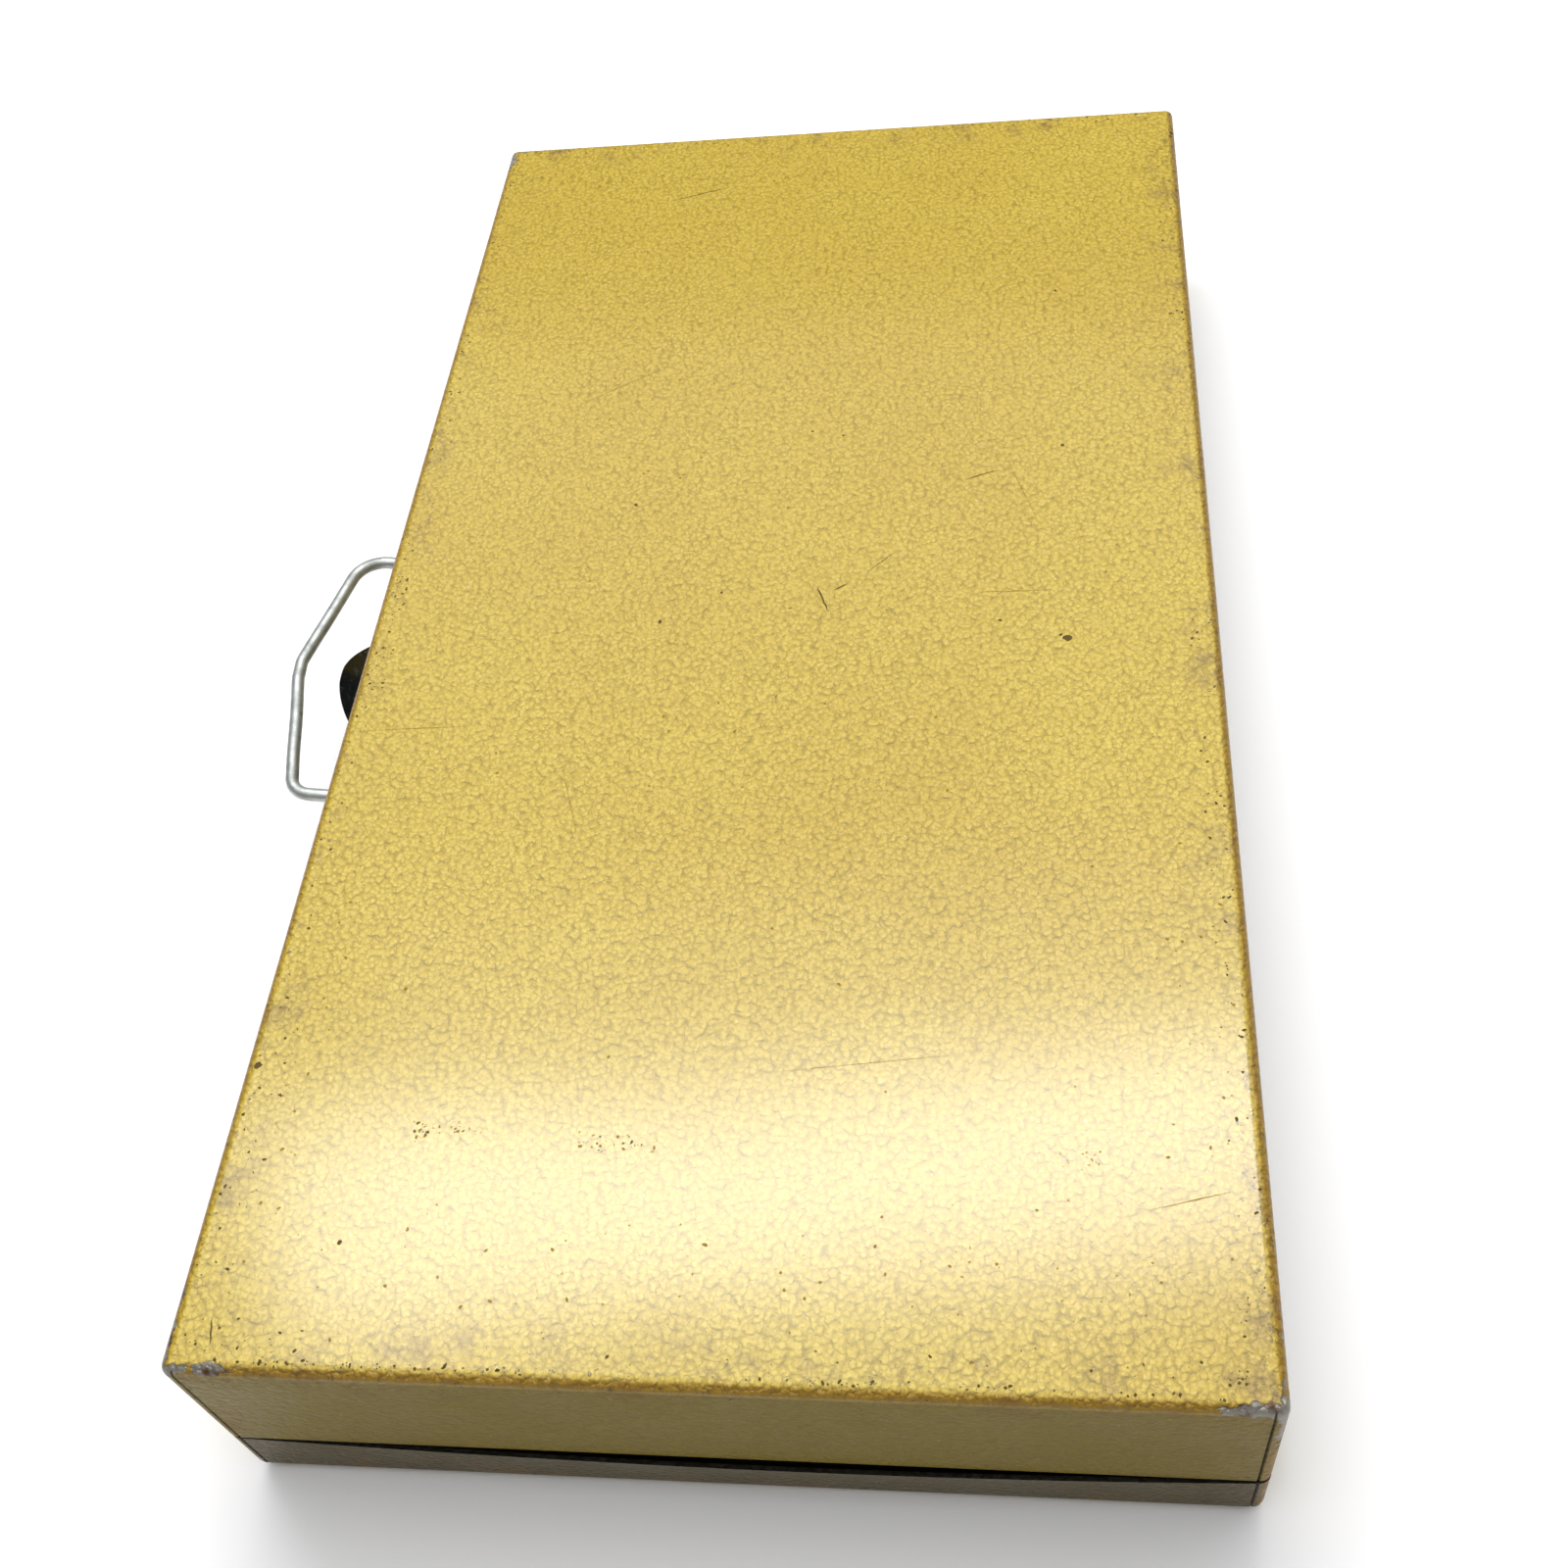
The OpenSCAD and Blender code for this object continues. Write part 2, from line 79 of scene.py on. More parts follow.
class Nodes:
    """Builds one material's node tree, one short call per node."""

    def __init__(self, name):
        self.material = bpy.data.materials.new(name)
        self.material.use_nodes = True
        self.tree = self.material.node_tree
        self.shader = self.tree.nodes["Principled BSDF"]
        self.point = self.add("ShaderNodeTexCoord").outputs["Object"]

    def add(self, kind, **props):
        node = self.tree.nodes.new(kind)
        for key, value in props.items():
            setattr(node, key, value)
        return node

    def put(self, socket, value):
        if isinstance(value, bpy.types.NodeSocket):
            self.tree.links.new(value, socket)
        else:
            socket.default_value = value

    def set(self, **values):
        for key, value in values.items():
            self.put(self.shader.inputs[key.replace("_", " ")], value)

    def math(self, operation, a, b=0.0):
        node = self.add("ShaderNodeMath", operation=operation)
        self.put(node.inputs[0], a)
        self.put(node.inputs[1], b)
        return node.outputs[0]

    def vector(self, operation, a, b=(0, 0, 0), scale=None):
        node = self.add("ShaderNodeVectorMath", operation=operation)
        self.put(node.inputs[0], a)
        if scale is None:
            self.put(node.inputs[1], b)
        else:
            self.put(node.inputs["Scale"], scale)
        return node.outputs["Vector"]

    def ramp(self, value, low, high, a=0.0, b=1.0):
        """Smooth step of value from a at low to b at high."""
        node = self.add("ShaderNodeMapRange", interpolation_type="SMOOTHSTEP")
        for socket, v in zip(node.inputs, (value, low, high, a, b)):
            self.put(socket, v)
        return node.outputs[0]

    def mix(self, factor, a, b):
        node = self.add("ShaderNodeMix", data_type="RGBA")
        self.put(node.inputs[0], factor)
        self.put(node.inputs[6], a)
        self.put(node.inputs[7], b)
        return node.outputs[2]

    def noise(self, scale, detail=2.0, rough=0.5, point=None, offset=None):
        node = self.add("ShaderNodeTexNoise")
        p = self.point if point is None else point
        if offset:
            p = self.vector("ADD", p, offset)
        self.put(node.inputs["Vector"], p)
        self.put(node.inputs["Scale"], scale)
        self.put(node.inputs["Detail"], detail)
        self.put(node.inputs["Roughness"], rough)
        return node.outputs["Fac"]

    def voronoi(self, scale, point, output="Distance"):
        node = self.add("ShaderNodeTexVoronoi")
        self.put(node.inputs["Vector"], point)
        self.put(node.inputs["Scale"], scale)
        return node.outputs[output]

    def bump(self, height, distance, strength):
        node = self.add("ShaderNodeBump")
        self.put(node.inputs["Height"], height)
        self.put(node.inputs["Distance"], distance)
        self.put(node.inputs["Strength"], strength)
        return node.outputs[0]

    def warped(self, scale, amount):
        """The coordinates, pushed about by noise."""
        node = self.add("ShaderNodeTexNoise")
        self.put(node.inputs["Vector"], self.point)
        self.put(node.inputs["Scale"], scale)
        centred = self.vector("SUBTRACT", node.outputs["Color"], (0.5, 0.5, 0.5))
        return self.vector("ADD", self.point, self.vector("SCALE", centred, scale=amount))


# ---------- materials ----------

GOLD = srgb(193, 163, 20)
GOLD_DEEP = srgb(172, 138, 16)
GOLD_PALE = srgb(199, 172, 34)
FLAKE = srgb(236, 224, 176)
EDGE_BROWN = srgb(118, 84, 16)
BEND_SHADE_GOLD = srgb(140, 104, 6)
# dark brown mixed into the walls below the bend as painted shade
WALL_SHADE = srgb(56, 50, 40)
CHIP = srgb(88, 70, 28)
STEEL = srgb(150, 146, 136)
RUST = srgb(96, 62, 34)
SEAM_AND_RIM_SHADE = srgb(22, 20, 12)

ISLANDS = 740               # paint islands per metre
RELIEF = 0.66 * MM          # bump distance of the paint's grain
SIDE_WALL_SHADE = 0.24           # painted shade on the walls
LID_END_WALL_SHADE = 0.65        # painted shade on the +X end, darker than the other walls
BASE_END_WALL_SHADE = 0.90


def paint_height(n):
    """The enamel's grain: rounded islands with creased valleys between them, mostly 0.7 to 1.2."""
    cells = n.voronoi(ISLANDS, n.warped(520, 1.3 * MM))
    grain = n.noise(1900, 1)
    dome = n.math("SUBTRACT", 1.0, n.math("MULTIPLY", n.math("POWER", cells, 2.0), 1.6))
    height = n.math("ADD", n.math("MULTIPLY", dome, 0.7), n.math("MULTIPLY", grain, 0.35))
    return n.math("ADD", height, n.math("MULTIPLY", n.noise(460, 2), 0.62))


def edge_distances(n, edge_z):
    """Distances to the nearest edge and corner, and from the bend down the walls, and the x coordinate."""
    split = n.add("ShaderNodeSeparateXYZ")
    n.put(split.inputs[0], n.point)
    x, y, z = split.outputs
    a = n.math("SUBTRACT", HALF_L, n.math("ABSOLUTE", x))
    b = n.math("SUBTRACT", HALF_W, n.math("ABSOLUTE", y))
    c = n.math("ABSOLUTE", n.math("SUBTRACT", z, edge_z))
    # of the distances to the three nearest faces, the middle one is the edge's and the greatest the corner's
    least = n.math("MINIMUM", n.math("MINIMUM", a, b), c)
    corner = n.math("MAXIMUM", n.math("MAXIMUM", a, b), c)
    total = n.math("ADD", n.math("ADD", a, b), c)
    edge = n.math("SUBTRACT", n.math("SUBTRACT", total, least), corner)
    return edge, corner, c, x


def chipped(n, edge, corner):
    """Dark specks in a band along the edges, thicker towards the corners."""
    crowd = n.math("ADD", n.math("MULTIPLY", n.ramp(edge, 11 * MM, 2 * MM), 0.12),
                   n.math("MULTIPLY", n.ramp(corner, 60 * MM, 6 * MM), 0.06))
    speck = n.math("SUBTRACT", n.noise(520, 3, 0.75), n.math("SUBTRACT", 0.755, crowd))
    patchy = n.ramp(n.noise(26, 2, 0.5, offset=(3, 1, 2)), 0.38, 0.54)
    return n.math("MULTIPLY", n.ramp(speck, 0.0, 0.03), patchy)


def rubbed_through(n, edge, corner):
    """Bare steel at the corners and beside them along the edges."""
    limit = n.math("ADD", n.ramp(edge, 0.2 * MM, 5 * MM, 0.0, 0.26),
                   n.ramp(corner, 4 * MM, 34 * MM, 0.0, 0.17))
    wear = n.math("ADD", n.math("MULTIPLY", n.noise(150, 4, 0.7, offset=(1, 5, 9)), 0.7),
                  n.math("MULTIPLY", n.noise(30, 2, 0.5, offset=(2, 2, 4)), 0.3))
    return n.ramp(n.math("SUBTRACT", wear, n.math("ADD", 0.485, limit)), 0.0, 0.02)


def hammertone(name, edge_z, end_shade):
    """Hammertone enamel on a pan whose bent edges lie at height edge_z, worn at its edges and corners.

    The walls below the bend carry painted shade, strongest on the +X end."""
    n = Nodes(name)
    height = paint_height(n)
    edge, corner, below_bend, x = edge_distances(n, edge_z)

    def layer(amount, mask, under, over):
        return n.mix(n.math("MULTIPLY", mask, amount), under, over)

    # paint, painted shade on the walls and in the bends, and wear along the edges
    colour = n.mix(n.ramp(n.noise(9, 3, 0.6), 0.35, 0.68), GOLD, GOLD_PALE)
    # darker in the grain's valleys: painted shade in the creases
    colour = layer(0.28, n.ramp(height, 1.15, 0.74), colour, GOLD_DEEP)
    colour = layer(0.18, n.ramp(n.noise(38, 4, 0.65), 0.56, 0.74), colour, GOLD_DEEP)
    wall = n.ramp(below_bend, 0.8 * MM, 2.2 * MM)
    # painted shade on the walls, strongest on the +X end
    painted_wall_shade = n.ramp(x, HALF_L - 2.5 * MM, HALF_L - 1 * MM, SIDE_WALL_SHADE, end_shade)
    colour = n.mix(n.math("MULTIPLY", wall, painted_wall_shade), colour, WALL_SHADE)
    colour = layer(0.22, n.ramp(n.noise(1300, 1, offset=(6, 2, 3)), 0.70, 0.76), colour, FLAKE)
    # painted shade: the bends of the edges are darker than the flat
    shaded_bend = n.ramp(edge, 2.3 * MM, 1.0 * MM)
    colour = layer(0.9, shaded_bend, colour, BEND_SHADE_GOLD)
    near_edge = n.ramp(edge, 18 * MM, 1 * MM)
    rubbed = n.math("MULTIPLY", near_edge, n.ramp(n.noise(90, 4, 0.7), 0.50, 0.70))
    colour = layer(0.60, rubbed, colour, EDGE_BROWN)

    # chips, bare steel, dark seams and painted shade on the cut rim
    dark = chipped(n, edge, corner)
    bare = rubbed_through(n, edge, corner)
    seam = n.add("ShaderNodeAttribute", attribute_name="seam").outputs["Fac"]
    colour = layer(0.62, dark, colour, CHIP)
    colour = n.mix(bare, colour, n.mix(n.ramp(n.noise(240, 2), 0.5, 0.66), STEEL, RUST))
    # near-black at the corner seams, and on the cut rim as painted shade
    colour = n.mix(seam, colour, SEAM_AND_RIM_SHADE)

    worn = n.math("MAXIMUM", dark, bare)
    rough = n.ramp(n.noise(60, 2), 0.3, 0.7, 0.42, 0.50)
    dull = n.math("MAXIMUM", n.math("MULTIPLY", wall, 0.93), n.math("MULTIPLY", shaded_bend, 0.8))
    n.set(Base_Color=colour,
          Metallic=n.math("MAXIMUM", n.math("MULTIPLY", bare, 0.85), 0.06),
          Roughness=n.math("ADD", rough, n.math("MULTIPLY", worn, 0.16)),
          Coat_Weight=n.math("SUBTRACT", 1.0, dull),
          Coat_Roughness=0.16,
          Specular_IOR_Level=n.math("SUBTRACT", 0.45, n.math("MULTIPLY", wall, 0.34)))
    strength = n.math("SUBTRACT", 1.0, n.math("MULTIPLY", wall, 0.6))
    n.set(Normal=n.bump(n.math("SUBTRACT", height, n.math("MULTIPLY", worn, 0.5)), RELIEF, strength))
    return n.material


def plain(name, colour, rough):
    """One mottled colour, for the small marks and the rim lip."""
    n = Nodes(name)
    mottle = n.ramp(n.noise(800, 4, 0.7), 0.35, 0.65)
    n.set(Base_Color=n.mix(n.math("MULTIPLY", mottle, 0.12), colour, srgb(120, 112, 92)),
          Roughness=rough, Specular_IOR_Level=0.15, Normal=n.bump(mottle, 0.05 * MM, 0.5))
    return n.material


def zinc(name, tone=(172, 172, 166), polish=0.30):
    """Dull zinc plate: mottled, faintly streaked, with small dark spots."""
    n = Nodes(name)
    spangle = n.voronoi(900, n.warped(500, 1.2 * MM), "Color")
    gray = n.add("ShaderNodeRGBToBW")
    n.put(gray.inputs[0], spangle)
    mottle = n.noise(190, 5, 0.65)
    colour = n.mix(n.ramp(mottle, 0.35, 0.7), srgb(*tone), srgb(*(int(v * 0.80) for v in tone)))
    colour = n.mix(n.math("MULTIPLY", gray.outputs[0], 0.14), colour, srgb(214, 214, 208))
    stain = n.ramp(n.noise(310, 4, 0.7, offset=(4, 1, 8)), 0.60, 0.70)
    colour = n.mix(n.math("MULTIPLY", stain, 0.55), colour, srgb(92, 88, 76))
    rough = n.math("ADD", n.ramp(mottle, 0.3, 0.7, polish, polish + 0.14), n.math("MULTIPLY", stain, 0.2))
    n.set(Base_Color=colour, Metallic=0.92, Roughness=rough)
    n.set(Normal=n.bump(n.math("ADD", mottle, n.noise(1400, 2)), 0.12 * MM, 0.5))
    return n.material


def black_gloss(name):
    """Gloss black enamel with fine dust."""
    n = Nodes(name)
    dust = n.ramp(n.noise(700, 5, 0.7), 0.52, 0.72)
    colour = n.mix(n.math("MULTIPLY", dust, 0.20), srgb(20, 23, 23), srgb(92, 92, 84))
    n.set(Base_Color=colour, Roughness=n.ramp(dust, 0, 1, 0.16, 0.34), Coat_Weight=0.6, Coat_Roughness=0.08)
    n.set(Normal=n.bump(n.noise(300, 3), 0.1 * MM, 0.5))
    return n.material


def tinned(name):
    """Tinned sheet: soft cloudy bands, fine rolling lines and thumb marks."""
    n = Nodes(name)
    lines = n.vector("MULTIPLY", n.point, (14, 900, 900))
    rolled = n.noise(1.0, 3, 0.6, point=lines)
    cloud = n.noise(24, 4, 0.6)
    colour = n.mix(n.ramp(cloud, 0.35, 0.7), srgb(176, 177, 172), srgb(150, 150, 144))
    colour = n.mix(n.ramp(n.noise(85, 5, 0.7, offset=(3, 3, 1)), 0.60, 0.75), colour, srgb(122, 116, 100))
    rough = n.math("ADD", n.ramp(cloud, 0.3, 0.7, 0.28, 0.40), n.math("MULTIPLY", rolled, 0.08))
    n.set(Base_Color=colour, Metallic=0.9, Roughness=rough)
    n.set(Normal=n.bump(n.math("ADD", rolled, n.math("MULTIPLY", cloud, 2.0)), 0.08 * MM, 0.5))
    return n.material


LID_PAINT = hammertone("hammertone_lid", TOP, LID_END_WALL_SHADE)
BASE_PAINT = hammertone("hammertone_base", BASE_LOW.z, BASE_END_WALL_SHADE)
# the rim lip is near-black as painted shade in the slot between lid and base
LIP_SHADE = plain("lip_painted_shade", srgb(30, 27, 18), 0.5)
CHIP_MARK = plain("chip_marks", CHIP, 0.7)
RUB_MARK = plain("rub_marks", srgb(146, 116, 34), 0.6)
ZINC = zinc("zinc_plate")
WIRE = zinc("zinc_wire", (186, 190, 188), 0.44)
BLACK = black_gloss("black_enamel")
TIN = tinned("tinned_sheet")


# ---------- mesh helpers ----------

def finish_piece(name, bm, material, body, nodes=(), smooth=40):
    """Turns a bmesh into a piece that rides on a body and stands for some CAD nodes."""
    bmesh.ops.remove_doubles(bm, verts=bm.verts, dist=0.01 * MM)
    bmesh.ops.recalc_face_normals(bm, faces=bm.faces)
    mesh = bpy.data.meshes.new(name)
    bm.to_mesh(mesh)
    bm.free()
    mesh.materials.append(material)
    for polygon in mesh.polygons:
        polygon.use_smooth = True
    mesh.set_sharp_from_angle(angle=math.radians(smooth))
    piece = bpy.data.objects.new(name, mesh)
    scene.collection.objects.link(piece)
    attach(piece, body)
    if nodes:
        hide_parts(*nodes)


def spaced(half, inset, count):
    """Positions along one side between its corner arcs, closer together beside the corners."""
    reach = half - inset
    fine = [-reach + d for d in (0, SEAM_STEP, 2 * SEAM_STEP, 1.6 * MM, 4 * MM)]
    inner = reach - 10 * MM
    middle = [-inner + 2 * inner * i / count for i in range(count + 1)]
    return fine + middle + [-v for v in reversed(fine)]


ARC_STEPS = 5


def ring(half_x, half_y, corner, z, xs, ys):
    """One closed loop of points round a box's plan, with the same number of points at any size."""
    kx, ky = (half_x - corner) / xs[-1], (half_y - corner) / ys[-1]
    points = []
    sides = [
        ([(x * kx, -half_y) for x in xs], (1, -1), -90),
        ([(half_x, y * ky) for y in ys], (1, 1), 0),
        ([(-x * kx, half_y) for x in xs], (-1, 1), 90),
        ([(-half_x, -y * ky) for y in ys], (-1, -1), 180),
    ]
    for side, (sx, sy), start in sides:
        points += side
        cx, cy = sx * (half_x - corner), sy * (half_y - corner)
        for i in range(1, ARC_STEPS):
            angle = math.radians(start + 90 * i / ARC_STEPS)
            points.append((cx + corner * math.cos(angle), cy + corner * math.sin(angle)))
    return [Vector((x, y, z)) for x, y in points]


def bridge(bm, lower, upper):
    """Joins two loops of the same length with a band of faces."""
    for i in range(len(lower)):
        j = (i + 1) % len(lower)
        bm.faces.new((lower[i], lower[j], upper[j], upper[i]))


def skin(bm, half_x, half_y, corner, bend, rim_z, flat_z, rows, xs, ys):
    """One side of a folded pan, from its rim to its flat. Returns the rim's vertices."""
    up = 1 if flat_z > rim_z else -1
    bend_z = flat_z - up * bend
    levels = [(0, rim_z), (0, rim_z + up * 0.2 * MM)]
    levels += [(0, rim_z + (bend_z - rim_z) * i / rows) for i in range(1, rows + 1)]
    steps = 6
    for i in range(1, steps + 1):
        angle = math.radians(90 * i / steps)
        levels.append((bend * (1 - math.cos(angle)), bend_z + up * bend * math.sin(angle)))
    rings = []
    for inset, z in levels:
        points = ring(half_x - inset, half_y - inset, max(corner - inset, 0), z, xs, ys)
        rings.append([bm.verts.new(p) for p in points])
    for lower, upper in zip(rings, rings[1:]):
        bridge(bm, lower, upper)
    # the flat: a grid between the long sides of the last ring
    kx, ky = (half_x - bend) / xs[-1], (half_y - bend) / ys[-1]
    grid = [[bm.verts.new((x * kx, y * ky, flat_z)) for x in xs] for y in ys]
    for row, above in zip(grid, grid[1:]):
        for i in range(len(xs) - 1):
            bm.faces.new((row[i], row[i + 1], above[i + 1], above[i]))
    return rings[0]


def folded_pan(half_x, half_y, corner, bend, rim_z, flat_z, sheet):
    """Sheet folded up on four sides: an outer skin, an inner skin and the rim between them."""
    rows = 5
    xs = spaced(half_x, corner, 40)
    ys = spaced(half_y, corner, 22)
    bm = bmesh.new()
    outer = skin(bm, half_x, half_y, corner, bend, rim_z, flat_z, rows, xs, ys)
    inward = sheet if flat_z < rim_z else -sheet
    tightest = 0.4 * MM
    inner = skin(bm, half_x - sheet, half_y - sheet,
                 max(corner - sheet, tightest), max(bend - sheet, tightest),
                 rim_z, flat_z + inward, rows, xs, ys)
    bridge(bm, outer, inner)
    return bm


def spring_shape(y):
    """About 0 at the corners and 1 in the middle of an end wall, with more spring towards +Y."""
    t = y / HALF_W
    return max(0.0, 1 - t * t) * (1 + 0.25 * t) + 0.12 * max(0.0, t) ** 3


def dip(x, y, flat_z=TOP, sag=LID_SAG):
    """How far the big flat of a pan has sunk at one place."""
    room = (1 - (x / HALF_L) ** 2) * (1 - (y / HALF_W) ** 2)
    ripple = noise.noise(Vector((x * 14, y * 14, flat_z * 90)))
    return sag * max(0, room + 0.6 * ripple * min(1, 4 * room))


def deform_shell(bm, rim_z, flat_z, bow, lift, sag):
    """Bows the end walls out at the rim, springs their rim up or down and lets the big flat dip."""
    for v in bm.verts:
        height = (v.co.z - flat_z) / (rim_z - flat_z)
        if abs(v.co.x) > HALF_L - 3 * MM:
            spring = spring_shape(v.co.y)
            v.co.x += math.copysign(bow * spring * height ** 2, v.co.x)
            v.co.z += lift * spring * height ** 4
        if height < 0.1:
            v.co.z += dip(v.co.x, v.co.y, flat_z, sag)


def corner_seams(bm, rim_z):
    """Sinks the welded seam beside each upright corner, and marks it and the cut rim to be painted dark: a
    dark joint at the seam, painted shade on the rim.
    """
    layer = bm.verts.layers.float.new("seam")
    for v in bm.verts:
        if abs(v.co.z - rim_z) < 0.01 * MM:
            v[layer] = 1.0
        beside = abs(abs(v.co.y) - (HALF_W - CORNER - SEAM_STEP)) < 0.05 * MM
        if abs(v.co.x) > HALF_L - 0.3 * MM and beside:
            v[layer] = 1.0
            v.co.x -= math.copysign(SEAM_DEPTH, v.co.x)


# ---------- the case ----------

def make_lid():
    bm = folded_pan(HALF_L, HALF_W, CORNER, LID_BEND, LID_LOW.z, TOP, SHEET)
    corner_seams(bm, LID_LOW.z)
    deform_shell(bm, LID_LOW.z, TOP, bow=0.35 * MM, lift=1.1 * MM, sag=LID_SAG)
    finish_piece("lid_shell", bm, LID_PAINT, "lid", ["lid_cover"])


def make_base():
    bm = folded_pan(HALF_L, HALF_W, CORNER, BASE_BEND, BASE_HIGH.z, BASE_LOW.z, SHEET)
    corner_seams(bm, BASE_HIGH.z)
    deform_shell(bm, BASE_HIGH.z, BASE_LOW.z, bow=1.6 * MM, lift=-0.8 * MM, sag=0.25 * MM)
    finish_piece("base_shell", bm, BASE_PAINT, "base", ["base_pan"])


make_lid()
make_base()


# ---------- marks on the lid's top, listed in mm ------------------

# start x, y, end x, y and width
SCRATCHES = [
    (-1, 8, 7, 11, 0.6), (0, 12, -2, 15, 0.35), (-159, -45, -164, -29, 0.35), (-36, 42, -39, 50, 0.3),
    (180, -92, 185, -91, 0.5), (-6, 20, -12, 26, 0.2),
]
FAINT_SCRATCHES = [
    (2, 46, 2, 62, 0.22), (41, -94, 40, -70, 0.18), (155, 78, 151, 93, 0.2), (128, 8, 124, 42, 0.12),
    (-70, -60, -84, -38, 0.15), (-20, 60, -44, 52, 0.15), (70, -40, 52, -46, 0.14),
]
# x, y, radius
PITS = [
    (17, 66, 1.0), (16, 64.6, 0.5), (-56, 3, 0.45), (-47, 66, 0.55), (-108, 65, 0.5), (9, -29, 0.55),
    (-31, -40, 0.45), (0, -15, 0.4), (11, 51, 0.4), (128, -97, 0.8), (-54, 11, 0.35), (165, -71, 0.5),
]
FAINT_PITS = [
    (60, 40, 0.35), (-80, -52, 0.35), (95, 5, 0.35), (110, -70, 0.45), (-140, 20, 0.35), (35, 12, 0.35),
    (-12, 78, 0.35), (80, 70, 0.3), (132, 30, 0.3), (-95, -20, 0.3), (48, -62, 0.35), (170, 20, 0.3),
]
# centre x, y, half length, half width and how many small chips
SCUFFS = [
    (184, -84, 4, 12, 22), (185, 84, 3, 10, 14), (178, 94, 10, 2.5, 12), (183, 30, 3, 60, 14),
    (90, 95.5, 100, 2.5, 70), (20, -95.5, 120, 2.5, 110), (-110, 96, 70, 2, 40), (-110, -96, 70, 1.5, 40),
    (150, -94, 36, 4, 60), (142, -56, 2, 6, 8), (144, -21, 2, 6, 10), (188, -60, 0.8, 30, 60),
    (188, 50, 0.8, 40, 40), (-187, 60, 2, 36, 30), (-187, -60, 2, 34, 24),
]
FAINT_SCUFFS = [
    (-168, -34, 4, 40, 70), (142, -56, 3, 8, 26), (144, -21, 3, 8, 28), (145, 66, 3, 4, 16),
    (-44, -32, 7, 14, 16), (172, -40, 16, 40, 40), (168, 50, 18, 40, 50), (120, 88, 60, 8, 40),
    (120, -90, 60, 6, 40), (0, 0, 150, 80, 60),
]
CHIP_RADII = (0.10, 0.14, 0.20, 0.32)
FLAKE_LIFT = 0.03 * MM      # how far a mark lies above the paint


def make_marks(name, material, scratches, pits, scuffs, seed):
    """Pits, chips and scratches as thin flakes lying on the lid's paint, from places in mm."""
    rng = random.Random(seed)
    bm = bmesh.new()

    def corner_at(x, y):
        x, y = x * MM, y * MM
        return bm.verts.new((x, y, TOP + dip(x, y) + FLAKE_LIFT))

    def flake(x, y, radius, stretch=1.0, turn=0.0):
        points = []
        for i in range(8):
            angle = math.tau * i / 8
            r = radius * rng.uniform(0.6, 1.15)
            px, py = r * math.cos(angle) * stretch, r * math.sin(angle)
            points.append(corner_at(x + px * math.cos(turn) - py * math.sin(turn),
                                    y + px * math.sin(turn) + py * math.cos(turn)))
        bm.faces.new(points)

    for x0, y0, x1, y1, width in scratches:
        along = Vector((x1 - x0, y1 - y0))
        side = Vector((-along.y, along.x)).normalized() * width / 2
        steps = max(3, int(along.length))
        rows = []
        for i in range(steps + 1):
            t = i / steps
            swell = (0.25 + math.sin(math.pi * t)) * rng.uniform(0.5, 1.1)
            middle = Vector((x0, y0)) + along * t + side * rng.uniform(-0.5, 0.5)
            rows.append([corner_at(*(middle - side * swell)), corner_at(*(middle + side * swell))])
        for (a, b), (c, d) in zip(rows, rows[1:]):
            bm.faces.new((a, b, d, c))
    for x, y, radius in pits:
        flake(x, y, radius, rng.uniform(1.0, 1.4), rng.uniform(0, 3))
    for x, y, half_x, half_y, count in scuffs:
        for _ in range(count):
            flake(x + rng.triangular(-half_x, half_x), y + rng.uniform(-half_y, half_y),
                  rng.choice(CHIP_RADII), rng.uniform(1, 1.8), rng.uniform(0, 3))
    finish_piece(name, bm, material, "lid")


make_marks("lid_chips", CHIP_MARK, SCRATCHES, PITS, SCUFFS, 7)
make_marks("lid_scuffs", RUB_MARK, FAINT_SCRATCHES, FAINT_PITS, FAINT_SCUFFS, 11)


# ---------- materials of the CAD nodes that are kept ----------

def paint_cad(material, *nodes):
    """Gives CAD nodes that are shown as they are a better material."""
    for name in nodes:
        mesh = frame["nodes"][name].data
        mesh.materials.clear()
        mesh.materials.append(material)


# the rim lip carries painted shade
paint_cad(LIP_SHADE, "rim_lip")
paint_cad(ZINC, "hinge_leaf_lower", "hinge_leaf_upper", "hinge_pin",
          "latch_rivets", "latch_pin", "latch_spring", "keeper_rivets",
          "handle_bracket_left", "handle_bracket_right", "bracket_rivets",
          "tray_pivots", "rear_arms", "front_arms", "arm_pivots", "arm_link_pins",
          "lid_links", "lid_link_pivots")
paint_cad(BLACK, "latch_plate", "latch_lever", "latch_keeper")
paint_cad(TIN, "front_tray_left", "front_tray_left_divider",
          "front_tray_right", "front_tray_right_dividers",
          "rear_tray_left", "rear_tray_right", "rear_tray_right_dividers",
          "upper_tray", "upper_tray_dividers")


# ---------- the wire handle ----------

WANDER_SEED = 1794984320    # any number, but without one noise_vector differs from run to run


def filleted(points, radii, step=math.radians(7)):
    """A path through flat points with rounded corners."""
    path = [points[0]]
    for before, point, after, radius in zip(points, points[1:], points[2:], radii):
        u, v = (point - before).normalized(), (after - point).normalized()
        turn = u.angle_signed(v)
        setback = radius * math.tan(abs(turn) / 2)
        side = Vector((u.y, -u.x)) * math.copysign(1, turn)
        centre = point - u * setback + side * radius
        count = max(2, int(abs(turn) / step))
        for i in range(count + 1):
            spoke = Matrix.Rotation(-turn * i / count, 2) @ (-side)
            path.append(centre + spoke * radius)
    return path + [points[-1]]


